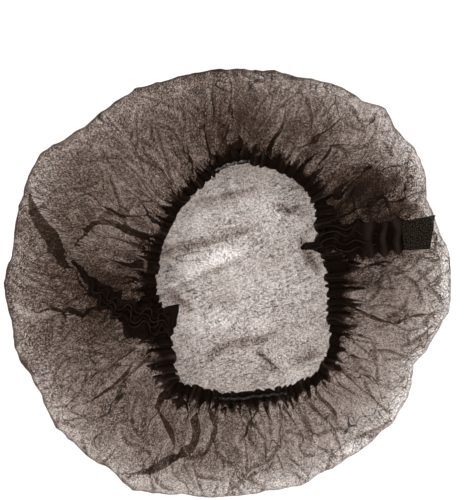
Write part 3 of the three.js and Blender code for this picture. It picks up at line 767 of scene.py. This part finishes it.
def clothMaterial(name, look):
    # a thin web of dark fibres: see-through between them, and darker where more layers lie together
    material = bpy.data.materials.new(name)
    material.use_nodes = True
    tree = material.node_tree
    tree.nodes.clear()
    new, link = tree.nodes.new, tree.links.new

    spot = markNode(tree, "flat").outputs["Vector"]
    layers, wrinkle, rim, wearAndHighlight = (
        markNode(tree, mark).outputs["Fac"] for mark in ("layers", "wrinkle", "rim", "wearAndHighlight")
    )

    def maths(kind, a, b):
        node = new("ShaderNodeMath")
        node.operation = kind
        for socket, value in zip(node.inputs, (a, b)):
            if isinstance(value, (int, float)):
                socket.default_value = value
            else:
                link(value, socket)
        return node.outputs[0]

    def softStep(value, low, high, fromValue=0.0, toValue=1.0):
        node = new("ShaderNodeMapRange")
        node.interpolation_type = "SMOOTHSTEP"
        link(value, node.inputs["Value"])
        node.inputs["From Min"].default_value = low
        node.inputs["From Max"].default_value = high
        node.inputs["To Min"].default_value = fromValue
        node.inputs["To Max"].default_value = toValue
        return node.outputs["Result"]

    def cloud(scale, detail):
        node = new("ShaderNodeTexNoise")
        node.noise_dimensions = "2D"
        link(spot, node.inputs["Vector"])
        node.inputs["Scale"].default_value = scale
        node.inputs["Detail"].default_value = detail
        return node

    def strands(scale, bentBy, bend, width):
        # lines along the edges of random cells, bent by noise
        pull = new("ShaderNodeVectorMath")
        pull.operation = "MULTIPLY_ADD"
        link(bentBy.outputs["Color"], pull.inputs[0])
        pull.inputs[1].default_value = (bend, bend, 0)
        link(spot, pull.inputs[2])
        cells = new("ShaderNodeTexVoronoi")
        cells.voronoi_dimensions = "2D"
        cells.feature = "DISTANCE_TO_EDGE"
        link(pull.outputs[0], cells.inputs["Vector"])
        cells.inputs["Scale"].default_value = scale
        return softStep(cells.outputs["Distance"], 0, width, 1, 0)

    def fibres(scale, turn, width):
        # long curling fibres that lie mostly one way, where a stretched noise crosses its middle
        lie = new("ShaderNodeMapping")
        lie.vector_type = "TEXTURE"
        link(spot, lie.inputs["Vector"])
        lie.inputs["Location"].default_value = (0.02 * turn, 0.013 * turn, 0)
        lie.inputs["Rotation"].default_value = (0, 0, math.radians(turn))
        lie.inputs["Scale"].default_value = (webFibres["stretch"], 1, 1)
        node = cloud(scale, 1)
        link(lie.outputs[0], node.inputs["Vector"])
        away = maths("ABSOLUTE", maths("SUBTRACT", node.outputs["Fac"], 0.5), 0)
        return softStep(away, 0.25 * width, width, 1, 0)

    wander = cloud(230, 1)
    speck = cloud(webFibres["specks"], 0).outputs["Fac"]
    grain = softStep(speck, 0.36, 0.64)
    web = 0.0
    for scale, turn, width, strength in webFibres["lays"]:
        web = maths("MAXIMUM", web, maths("MULTIPLY", fibres(scale, turn, width), strength))
    web = maths("MULTIPLY", web, maths("ADD", maths("MULTIPLY", grain, 0.55), 0.45))
    cover = maths("ADD", maths("MULTIPLY", web, look["most"] - look["least"]), look["least"])
    blotch = softStep(cloud(135, 2).outputs["Fac"], 0.3, 0.7, 0.87, 1.13)
    cover = maths("MULTIPLY", cover, blotch)

    # a few long creases that come and go
    drift = cloud(30, 1)
    crease = maths("MULTIPLY", strands(27, drift, 0.05, 0.017), softStep(drift.outputs["Fac"], 0.48, 0.6))
    crease = maths("MULTIPLY", crease, softStep(wrinkle, 0, 1, look["crease"], look["crownCrease"]))
    cover = maths("ADD", cover, crease)

    # fine waves across the crown
    lay = new("ShaderNodeMapping")
    link(spot, lay.inputs["Vector"])
    lay.inputs["Rotation"].default_value = (0, 0, math.radians(crownWaves["turn"]))
    waves = new("ShaderNodeTexWave")
    link(lay.outputs[0], waves.inputs["Vector"])
    waves.inputs["Scale"].default_value = crownWaves["scale"]
    waves.inputs["Distortion"].default_value = crownWaves["bend"]
    waves.inputs["Detail"].default_value = 0
    waves.inputs["Detail Scale"].default_value = 1
    wavy = maths("MULTIPLY", softStep(waves.outputs["Fac"], 0.8, 1.0), wrinkle)
    wavy = maths("MULTIPLY", wavy, softStep(wander.outputs["Fac"], 0.36, 0.66, 0.0, crownWaves["most"]))
    wavy = maths("MULTIPLY", wavy, softStep(drift.outputs["Fac"], 0.36, 0.6, 0.35, 1.0))
    cover = maths("MINIMUM", maths("ADD", cover, wavy), 0.96)

    # fewer but darker fibres by the edge
    fewest = maths("ADD", maths("MINIMUM", maths("MULTIPLY", rim, 0.8), 0.5), 0.42)
    first = maths("MINIMUM", maths("MAXIMUM", layers, fewest), 1.0)
    clear = maths("POWER", maths("SUBTRACT", 1.0, cover), first)
    # the layers under the first have their fibres in other places, and even each other out
    depth = maths("MAXIMUM", maths("SUBTRACT", layers, 1.0), 0.0)
    spread = maths("DIVIDE", look["spread"], maths("POWER", maths("MAXIMUM", depth, 1.0), 0.7))
    under = maths("MULTIPLY", maths("SUBTRACT", fibres(*webFibres["underLay"]), 0.42), spread)
    under = maths("ADD", under, look["under"])
    clear = maths("MULTIPLY", clear, maths("POWER", maths("SUBTRACT", 1.0, under), depth))
    alpha = maths("SUBTRACT", 1.0, clear)
    # where the cloth is thinner than one layer its fibres are fewer
    missing = maths("MULTIPLY", maths("MAXIMUM", maths("SUBTRACT", 1.0, layers), 0.0), 0.85)
    kept = maths("MULTIPLY", maths("SUBTRACT", cloud(560, 1).outputs["Fac"], missing), 11.0)
    alpha = maths("MULTIPLY", alpha, maths("MINIMUM", maths("MAXIMUM", kept, 0.0), 1.0))
    # a net of small wrinkles along the pale edge
    shownRim = maths("MULTIPLY", rim, softStep(wander.outputs["Fac"], 0.35, 0.6, 0.3, 1.0))
    net = maths("MULTIPLY", strands(72, drift, 0.04, 0.06), shownRim)
    alpha = maths("MAXIMUM", alpha, maths("MULTIPLY", net, look["net"]))

    fibre = new("ShaderNodeBsdfPrincipled")
    tone = new("ShaderNodeMix")
    tone.data_type = "RGBA"
    link(grain, tone.inputs["Factor"])
    tone.inputs["A"].default_value = look["pale"]
    tone.inputs["B"].default_value = look["dark"]
    shown = new("ShaderNodeMix")  # painted highlight: crests and cut edges are paler
    shown.data_type = "RGBA"
    link(wearAndHighlight, shown.inputs["Factor"])
    link(tone.outputs["Result"], shown.inputs["A"])
    shown.inputs["B"].default_value = look["wearAndHighlight"]
    link(shown.outputs["Result"], fibre.inputs["Base Color"])
    fibre.inputs["Roughness"].default_value = look["rough"]
    fibre.inputs["Specular IOR Level"].default_value = 0.012
    fibre.inputs["Specular Tint"].default_value = (1, 0.72, 0.55, 1)
    bump = new("ShaderNodeBump")
    bump.inputs["Strength"].default_value = 0.35
    bump.inputs["Distance"].default_value = 0.0004
    link(grain, bump.inputs["Height"])
    link(bump.outputs["Normal"], fibre.inputs["Normal"])

    stain = new("ShaderNodeGamma")  # light turns browner with every layer it passes
    stain.inputs["Color"].default_value = look["tint"]
    link(maths("MULTIPLY", maths("POWER", layers, 0.85), 0.86), stain.inputs["Gamma"])
    gap = new("ShaderNodeBsdfTransparent")
    link(stain.outputs["Color"], gap.inputs["Color"])
    mix = new("ShaderNodeMixShader")
    link(alpha, mix.inputs["Fac"])
    link(gap.outputs[0], mix.inputs[1])
    link(fibre.outputs[0], mix.inputs[2])
    output = new("ShaderNodeOutputMaterial")
    link(mix.outputs[0], output.inputs["Surface"])
    return material


# How much light the fibres stop: between and at the fibres, in the layers under them, and how unevenly
webLook = dict(
    least=0.03,
    most=0.96,
    under=0.335,
    spread=0.8,
    crease=0.85,
    crownCrease=0.25,
    net=1.05,
    tint=(0.975, 0.905, 0.865, 1),
    # colour of the painted highlight on crests and cut edges
    wearAndHighlight=(0.115, 0.093, 0.077, 1),
    pale=(0.0115, 0.0068, 0.0046, 1),
    dark=(0.005, 0.0029, 0.002, 1),
    rough=0.62,
)
gatheredLook = dict(
    least=0.25,
    most=0.88,
    under=0.4,
    spread=0.3,
    crease=0.2,
    crownCrease=0.25,
    net=0,
    tint=(0.975, 0.905, 0.865, 1),
    # colour of the painted highlight on crests and cut edges
    wearAndHighlight=(0.135, 0.091, 0.078, 1),
    pale=(0.0054, 0.0031, 0.002, 1),
    dark=(0.0026, 0.0014, 0.0009, 1),
    rough=0.5,
)
fibreWeb = clothMaterial("fibre web", webLook)
gatheredCloth = clothMaterial("gathered cloth", gatheredLook)

# The cap's bag: crown, rolled edge and skirt in one cloth
capPiece = addPiece(makeCapCloth(), fibreWeb, ["crown", "skirt"])

# The gathered hems
hemRuffle = dict(
    columnsPerLobe=18,
    rows=22,
    rise=2.2,  # height of the ruffle's waves in mm
    lean=1.1,
    base=49.3,
    ends=dict(hem_upper=(22, 200), hem_lower=(213, 376)),
    # directions where the ruffle parts over its elastic: middle, half width, how far the elastic shifts
    partings=[(90, 10, -4.2), (281, 20, -1.2)],
)


def lineFrame(angle):
    # the elastic's line with its outward direction
    x, y = lineAt(angle)
    x2, y2 = lineAt(angle + 0.2)
    x1, y1 = lineAt(angle - 0.2)
    length = np.hypot(x2 - x1, y2 - y1)
    return x, y, (y2 - y1) / length, (x1 - x2) / length


def partingAt(angle):
    parted, shift = np.zeros(np.shape(angle)), np.zeros(np.shape(angle))
    for at, half, inset in hemRuffle["partings"]:
        away = (np.mod(angle - at + 180, 360) - 180) / half
        gap = np.exp(-(away**4))
        parted, shift = np.maximum(parted, gap), shift + inset * gap
    return parted, shift


def alongPhase(phase, pace, seed):
    # smooth noise along the ruffle
    return lumps(np.stack([phase * pace, 0 * phase, 0 * phase], -1), 1, seed)


def makeHem(name, start, end):
    turns = gatherPhase(np.array([start, end - 0.001]))
    lobes = (turns[1] - turns[0]) % capCloth["gathers"]
    columns = int(lobes * hemRuffle["columnsPerLobe"])
    rows = hemRuffle["rows"]
    mesh, column, row = gridSheet(name, columns, rows)
    angle = start + (end - start) * column / columns
    across = 2 * row / rows - 1  # -1 at the mouth, 1 at the skirt
    inside, outside = np.clip(-across, 0, 1), np.clip(across, 0, 1)
    phase = gatherPhase(angle)
    turn = np.radians(angle)
    x, y, outX, outY = lineFrame(angle)
    hem = hemAt(angle)
    run = np.interp(np.mod(angle, 360), lineAngle, lineRun)
    lobe = np.abs(np.cos(math.pi * phase)) ** 0.6  # round lobes with sharp dips between them
    uneven = 1 + 0.9 * alongPhase(phase, 0.8, 7)
    stub = np.abs(np.sin(math.pi * phase)) ** 2 * (1 + 1.3 * alongPhase(phase, 1.1, 8))
    spike = np.abs(np.sin(math.pi * (1.7 * phase + 0.3))) ** 4 * (1 + 1.6 * alongPhase(phase, 1.9, 9))
    tooth = np.clip(np.maximum(stub, spike), 0, 2)
    rough = lumps(np.stack([x + 8 * outX * across, y + 8 * outY * across, 0 * x], -1), 8, 5)
    pleat = np.cos(2 * math.pi * 3 * phase + 3 * rough)
    smooth = 1 - 0.6 * np.exp(-(((np.mod(angle, 360) - 140) / 22) ** 4))  # a plain edge at the upper left
    inner = hem * elasticShare * (0.7 + 0.46 * smooth * lobe * uneven + 0.15 * rough)
    outer = hem * (1 - elasticShare) * (0.6 + 0.75 * tooth + 0.35 * rough)
    offset = outside * outer - inside * inner
    parted, shift = partingAt(angle)
    tall = 0.5 + 0.5 * inside**2 + 0.4 * np.sin(0.9 * math.pi * outside)
    wave = 1.6 * lobe * uneven - 1
    lift = hemRuffle["rise"] * tall * (wave + 0.6 * rough + 0.28 * pleat)
    lean = hemRuffle["lean"] * np.tanh(2 * np.sin(5 * turn) + np.sin(17 * turn))
    twist = 3.2 * outside**2 * alongPhase(phase, 0.6, 10)
    slide = lean * lift + 1.1 * outside * np.sin(2 * math.pi * phase) + twist
    x = x + offset * outX - slide * outY
    y = y + offset * outY + slide * outX
    valley = np.exp(-(((offset - shift) / 2.6) ** 2))
    z = hemRuffle["base"] + lift * (1 - 0.8 * parted * valley)
    z = z + (1.6 - 3 * parted * valley) * (1 - across**2) - 1.6 * outside
    body = 1 - ramp(0.1, 0.85, outside) * (1 - 0.3 * np.clip(tooth, 0, 1.2))
    # painted highlight on the ruffle's crests and along its inner edge
    crestShine = np.clip(lift / hemRuffle["rise"], 0, 1) ** 2 * (0.5 + 0.5 * pleat)
    wearAndHighlight = 0.13 * crestShine + 0.12 * ramp(0.86, 0.98, inside)
    flat = np.stack([2.4 * run, offset, 0 * run], -1)
    marks = dict(layers=0.5 + 14 * body**2, wearAndHighlight=wearAndHighlight)
    layOut(mesh, np.stack([x, y, z], -1) - capMiddle, flat, marks)
    return mesh


for hemName, (hemStart, hemEnd) in hemRuffle["ends"].items():
    ruffle = makeHem(hemName + "_ruffle", hemStart, hemEnd)
    addPiece(ruffle, gatheredCloth, [hemName])

# The elastics: flat bands of thin rubber threads, each lying in its hem
elasticBand = dict(
    across=1.4,
    thick=0.6,
    threads=2,
    height=49.3,
    crinkle=0.6,
    short=3,  # degrees that each end stops before its hem's end
    wall=0.5,
    # painted glint on the threads, stronger on the upper elastic
    shine=dict(upper=0.34, lower=0.07),
)


def elasticMaterial():
    material = bpy.data.materials.new("elastic yarn")
    material.use_nodes = True
    tree = material.node_tree
    new, link = tree.nodes.new, tree.links.new
    shader = tree.nodes["Principled BSDF"]
    spot = markNode(tree, "flat")
    knots = new("ShaderNodeTexVoronoi")
    link(spot.outputs["Vector"], knots.inputs["Vector"])
    knots.inputs["Scale"].default_value = 760
    # painted glints: pale dots on the elastic's threads
    glintDots = new("ShaderNodeMapRange")
    link(knots.outputs["Distance"], glintDots.inputs["Value"])
    glintDots.inputs["From Min"].default_value = 0.2
    glintDots.inputs["From Max"].default_value = 0.5
    glintDots.inputs["To Min"].default_value = 1
    glintDots.inputs["To Max"].default_value = 0.12
    threads = markNode(tree, "wearAndHighlight")
    shown = new("ShaderNodeMath")
    shown.operation = "MULTIPLY"
    link(glintDots.outputs["Result"], shown.inputs[0])
    link(threads.outputs["Fac"], shown.inputs[1])
    tone = new("ShaderNodeMix")
    tone.data_type = "RGBA"
    link(shown.outputs[0], tone.inputs["Factor"])
    tone.inputs["A"].default_value = (0.008, 0.0055, 0.0045, 1)
    tone.inputs["B"].default_value = (0.5, 0.47, 0.44, 1)
    link(tone.outputs["Result"], shader.inputs["Base Color"])
    shader.inputs["Roughness"].default_value = 0.42
    shader.inputs["Specular IOR Level"].default_value = 0.04
    bump = new("ShaderNodeBump")
    bump.inputs["Strength"].default_value = 0.6
    bump.inputs["Distance"].default_value = 0.0004
    link(knots.outputs["Distance"], bump.inputs["Height"])
    bump.invert = True
    link(bump.outputs["Normal"], shader.inputs["Normal"])
    return material


def makeElastic(name, start, end, shine):
    columns, rows = int((end - start) * 5), 12
    mesh, column, row = gridSheet(name, columns, rows)
    angle = start + (end - start) * column / columns
    share = row / rows
    x, y, outX, outY = lineFrame(angle)
    ripple = np.cos(2 * math.pi * gatherPhase(angle))
    parted, shift = partingAt(angle)
    offset = elasticBand["across"] * (share - 0.5) + 0.35 * ripple + shift
    threads = np.abs(np.sin(math.pi * elasticBand["threads"] * share)) ** 0.7
    z = elasticBand["height"] + elasticBand["crinkle"] * ripple + elasticBand["thick"] * (threads - 0.5)
    z = z - 1.8 * (1 - parted)
    run = np.interp(np.mod(angle, 360), lineAngle, lineRun)
    flat = np.stack([run, elasticBand["across"] * share, 0 * run], -1)
    # painted glint along the threads' tops
    marks = dict(layers=20, wearAndHighlight=shine * ramp(0.6, 1, threads))
    layOut(mesh, np.stack([x + offset * outX, y + offset * outY, z], -1) - capMiddle, flat, marks)
    return mesh


elasticYarn = elasticMaterial()
for side in ("upper", "lower"):
    hemStart, hemEnd = hemRuffle["ends"]["hem_" + side]
    bandStart, bandEnd = hemStart + elasticBand["short"], hemEnd - elasticBand["short"]
    band = makeElastic("elastic_%s_band" % side, bandStart, bandEnd, elasticBand["shine"][side])
    elasticPiece = addPiece(band, elasticYarn, ["elastic_" + side])
    thicken = elasticPiece.modifiers.new("thickness", "SOLIDIFY")
    thicken.thickness = elasticBand["wall"] * mm

# The bundles of pleats that stay shut: a rumpled ribbon with pleated edges standing on it.
# path in mm with the bundle's width at each place, from the mouth outwards; each wall is
# how far aside it stands, then where along the path it starts and stops
pleatBundles = dict(
    pleats_right=dict(
        path=[
            (53, 26, 1.5), (60, 27.5, 7), (68, 30, 16), (77, 32, 27),
            (86, 32, 29), (100, 33, 27), (114, 34, 25), (131, 35.5, 23),
        ],
        ribsFrom=0.66,
        ribs=7.6,
        ribHeight=2.2,
        walls=[(9, 0.24, 0.5), (4.5, 0.18, 0.62), (-1.5, 0.12, 0.7), (-7, 0.16, 0.72)],
        wave=18,
        sway=2.8,
        loop=2.6,
        slackFrom=0.42,
        tall=4.8,
    ),
    pleats_left=dict(
        path=[
            (-42, -28, 17), (-55, -29, 24), (-68, -26, 26), (-80, -20, 22),
            (-91, -12, 17), (-104, 2, 10), (-117, 17, 2),
        ],
        ribsFrom=1.2,
        ribs=0,
        ribHeight=0,
        walls=[(-6.6, 0.05, 0.42), (-3, 0.03, 0.7), (0.6, 0.03, 0.84), (4.2, 0.08, 0.66)],
        wave=12.5,
        sway=3.1,
        loop=0.7,
        slackFrom=1.3,
        tall=4.6,
    ),
)


def bundleFrame(path, share):
    line = smoothPath(path, 12)
    run = np.concatenate([[0], np.cumsum(np.hypot(*np.diff(line[:, :2], axis=0).T))])
    at = share * run[-1]
    x, y, width = (np.interp(at, run, line[:, k]) for k in range(3))
    x2, y2 = (np.interp(at + 0.5, run, line[:, k]) for k in range(2))
    x1, y1 = (np.interp(at - 0.5, run, line[:, k]) for k in range(2))
    length = np.hypot(x2 - x1, y2 - y1)
    return x, y, width, (y1 - y2) / length, (x2 - x1) / length, run[-1]


def swingAt(look, share, length):
    # the pleats wave from side to side together
    return 2 * math.pi * share * length / look["wave"] + 0.9 * np.sin(11 * share)


def makeRibbon(look):
    columns, rows = 220, 34
    mesh, column, row = gridSheet("ribbon_part", columns, rows)
    share, across = column / columns, row / rows - 0.5
    x, y, width, leftX, leftY, length = bundleFrame(look["path"], share)
    places = np.stack([x + 20 * across * leftX, y + 20 * across * leftY, 0 * x], -1)
    rough, finer = lumps(places, 9, 8), lumps(places, 3.5, 12)
    ribbed = ramp(look["ribsFrom"] - 0.1, look["ribsFrom"] + 0.05, share)
    ribTurn = look["ribs"] * share + 0.12 * np.sin(5 * across + 3 * share) + 0.2 * rough
    rib = np.cos(2 * math.pi * ribTurn)
    scallop = np.where(across < 0, 0.16, 0.06) * rib * ribbed  # the lower edge shows each pleat's end
    ragged = (0.6 * rough + 0.4 * finer) * (1 - 0.8 * ribbed) + scallop
    meander = 0.6 * look["sway"] * np.minimum(1, width / 15) * np.sin(swingAt(look, share, length))
    meander = meander * (1 - ribbed)
    reach = across * width * (1 + ragged) + meander
    x, y = x + reach * leftX, y + reach * leftY
    border = np.minimum(ramp(0.5, 0.28 + 0.16 * rough, np.abs(across)), ramp(0, 0.03, share))
    crumpled = (1 - ribbed) * (0.9 * rough + 0.6 * finer)
    z = skirtHeight(x, y) + 3.0 + border * (1.4 + look["ribHeight"] * rib * ribbed + crumpled)
    solid = np.maximum(border, ribbed)
    # painted highlight on the rib crests and on raised lumps of the crumpled cloth
    wearAndHighlight = 0.085 * ribbed * np.clip(0.5 + 0.5 * rib + 0.5 * rough, 0, 1) ** 2
    wearAndHighlight = wearAndHighlight + 0.05 * (1 - ribbed) * np.clip(finer, 0, 1)
    flat = np.stack([share * length, across * width, 0 * x], -1)
    marks = dict(layers=1.2 + 14 * solid**2, wearAndHighlight=wearAndHighlight)
    layOut(mesh, np.stack([x, y, z], -1) - capMiddle, flat, marks)
    return mesh


def makeWall(look, k):
    aside, first, last = look["walls"][k]
    length = bundleFrame(look["path"], np.zeros(1))[-1]
    columns, rows = int(26 * length * (last - first) / look["wave"]), 6
    mesh, column, row = gridSheet("wall_part", columns, rows)
    share = first + (last - first) * column / columns
    up = row / rows
    x, y, width, leftX, leftY, length = bundleFrame(look["path"], share)
    fade = np.minimum(1, width / 15)
    settle = ramp(look["slackFrom"], 0.2, share)  # deep loops by the mouth, slack waves further out
    swing = swingAt(look, share, length) + 0.25 * np.sin(9 * share + 2 * k)
    wobble = 1 + 0.25 * np.sin(13 * share + 1.7 * k)
    lateral = aside * fade + look["sway"] * fade * wobble * (0.6 + 0.4 * settle) * np.sin(swing)
    along = -look["loop"] * settle * np.sin(2 * swing + 0.3 * k)
    lateral = lateral + 1.1 * (up - 0.5) * np.cos(0.5 * swing + k)
    x, y = x + lateral * leftX + along * leftY, y + lateral * leftY - along * leftX
    ends = np.minimum(ramp(first, first + 0.05, share), ramp(last, last - 0.08, share))
    z = skirtHeight(x, y) + 2.6 + look["tall"] * up * (0.35 + 0.65 * ends)
    flat = np.stack([share * length, look["tall"] * up, 0 * x], -1)
    # painted highlight along the walls' top edges
    wearAndHighlight = np.where(up > 0.8, 0.055 + 0.03 * np.sin(0.7 * swing + 2 * k), 0.0)
    layOut(mesh, np.stack([x, y, z], -1) - capMiddle, flat, dict(layers=16, wearAndHighlight=wearAndHighlight))
    return mesh


def makeBundle(name, look):
    bm = bmesh.new()
    for mesh in [makeRibbon(look)] + [makeWall(look, k) for k in range(len(look["walls"]))]:
        bm.from_mesh(mesh)
        bpy.data.meshes.remove(mesh)
    return joinedMesh(bm, name)


for bundleName, bundleLook in pleatBundles.items():
    bundle = makeBundle(bundleName + "_bundle", bundleLook)
    bundlePiece = addPiece(bundle, gatheredCloth, [bundleName])
    thicken = bundlePiece.modifiers.new("thickness", "SOLIDIFY")
    thicken.thickness = 0.7 * mm
    thicken.offset = 0

# The heat-sealed ends: flat tabs of fused pleats
sealedTabs = dict(
    weld_right=dict(
        path=[(129, 35.5, 22), (142, 37, 23.5), (153, 38.5, 25)],
        slant=-9,
        dots=1,
        thick=1.4,
        curl=2.2,  # how far the end lifts in mm
    ),
    weld_left=dict(
        path=[(-50, -29, 17), (-44, -25.5, 17), (-38.5, -23.5, 15)],
        slant=-8,
        dots=0.15,
        thick=1.2,
        curl=1.6,
    ),
)


def sealedMaterial():
    material = bpy.data.materials.new("sealed cloth")
    material.use_nodes = True
    tree = material.node_tree
    new, link = tree.nodes.new, tree.links.new
    shader = tree.nodes["Principled BSDF"]
    spot = markNode(tree, "flat")
    specks = new("ShaderNodeTexVoronoi")
    specks.voronoi_dimensions = "2D"
    link(spot.outputs["Vector"], specks.inputs["Vector"])
    specks.inputs["Scale"].default_value = 640
    specks.inputs["Randomness"].default_value = 0.75
    tone = new("ShaderNodeValToRGB")
    wearAndHighlight = markNode(tree, "wearAndHighlight")
    dim = new("ShaderNodeMath")  # fewer dots show where the tab is less rubbed
    dim.operation = "SUBTRACT"
    link(specks.outputs["Distance"], dim.inputs[0])
    link(wearAndHighlight.outputs["Fac"], dim.inputs[1])
    link(dim.outputs[0], tone.inputs["Fac"])
    tone.color_ramp.elements[0].position = 0.06
    tone.color_ramp.elements[0].color = (0.06, 0.046, 0.034, 1)
    tone.color_ramp.elements[1].position = 0.3
    tone.color_ramp.elements[1].color = (0.0045, 0.0028, 0.0019, 1)
    link(tone.outputs["Color"], shader.inputs["Base Color"])
    shader.inputs["Roughness"].default_value = 0.42
    shader.inputs["Specular IOR Level"].default_value = 0.012
    bump = new("ShaderNodeBump")
    bump.inputs["Strength"].default_value = 0.5
    bump.inputs["Distance"].default_value = 0.0003
    link(specks.outputs["Distance"], bump.inputs["Height"])
    link(bump.outputs["Normal"], shader.inputs["Normal"])
    return material


def makeTab(name, look):
    cells = 40
    mesh, column, row = gridSheet(name, cells, cells)
    share, across = column / cells, row / cells - 0.5
    x, y, width, leftX, leftY, length = bundleFrame(look["path"], share)
    reach = across * width
    rough = lumps(np.stack([x + reach * leftX, y + reach * leftY, 0 * x], -1), 6, 4)
    ahead = -look["slant"] * across * share + 0.8 * rough * share
    x, y = x + reach * leftX + ahead * leftY, y + reach * leftY - ahead * leftX
    ribs = np.cos(2 * math.pi * 2.5 * share) * ramp(0.6, 0.1, share)
    z = skirtHeight(x, y) + 3.6 + look["curl"] * share**2 + 0.5 * ribs + 0.3 * rough
    flat = np.stack([share * length, reach, 0 * x], -1)
    marks = dict(layers=20, wearAndHighlight=0.25 * look["dots"] - 0.25)
    layOut(mesh, np.stack([x, y, z], -1) - capMiddle, flat, marks)
    return mesh


sealedCloth = sealedMaterial()
for tabName, tabLook in sealedTabs.items():
    tabPiece = addPiece(makeTab(tabName + "_tab", tabLook), sealedCloth, [tabName])
    thicken = tabPiece.modifiers.new("thickness", "SOLIDIFY")
    thicken.thickness = tabLook["thick"] * mm
    softEdge = tabPiece.modifiers.new("soft edge", "BEVEL")
    softEdge.width = 0.4 * mm
    softEdge.segments = 2

# Floor, light and camera
bpy.ops.mesh.primitive_plane_add(size=6)
floor = bpy.context.object
floor.name = "floor"
floorMaterial = bpy.data.materials.new("white surface")
floorMaterial.use_nodes = True
floorShader = floorMaterial.node_tree.nodes["Principled BSDF"]
floorShader.inputs["Base Color"].default_value = (0.93, 0.93, 0.93, 1)
floorShader.inputs["Roughness"].default_value = 0.9
floorShader.inputs["Specular IOR Level"].default_value = 0.1
floor.data.materials.append(floorMaterial)

lightBox = dict(sky=1.45, lamp=6.0, lampHeight=1.6, lampSize=1.2)
world = bpy.data.worlds.new("even light")
bpy.context.scene.world = world
world.use_nodes = True
world.node_tree.nodes["Background"].inputs["Color"].default_value = (1, 1, 1, 1)
world.node_tree.nodes["Background"].inputs["Strength"].default_value = lightBox["sky"]
lampData = bpy.data.lights.new("soft lamp", "AREA")
lampData.energy = lightBox["lamp"]
lampData.size = lightBox["lampSize"]
lamp = bpy.data.objects.new("soft lamp", lampData)
lamp.location = (-0.3, 0.4, lightBox["lampHeight"])
lamp.rotation_euler = (Vector((0, 0, 0)) - lamp.location).to_track_quat("-Z", "Y").to_euler()
bpy.context.scene.collection.objects.link(lamp)

view = dict(lens=100, tall=0.375, atHeight=0.04, overX=0.0034, overY=0.0255)
cameraData = bpy.data.cameras.new("camera")
cameraData.lens = view["lens"]
camera = bpy.data.objects.new("camera", cameraData)
camera.location = (view["overX"], view["overY"], view["atHeight"] + view["tall"] * view["lens"] / 36)
bpy.context.scene.collection.objects.link(camera)
bpy.context.scene.camera = camera
bpy.context.scene.view_settings.view_transform = "Standard"
bpy.context.view_layer.update()
print("floor, light and camera set")
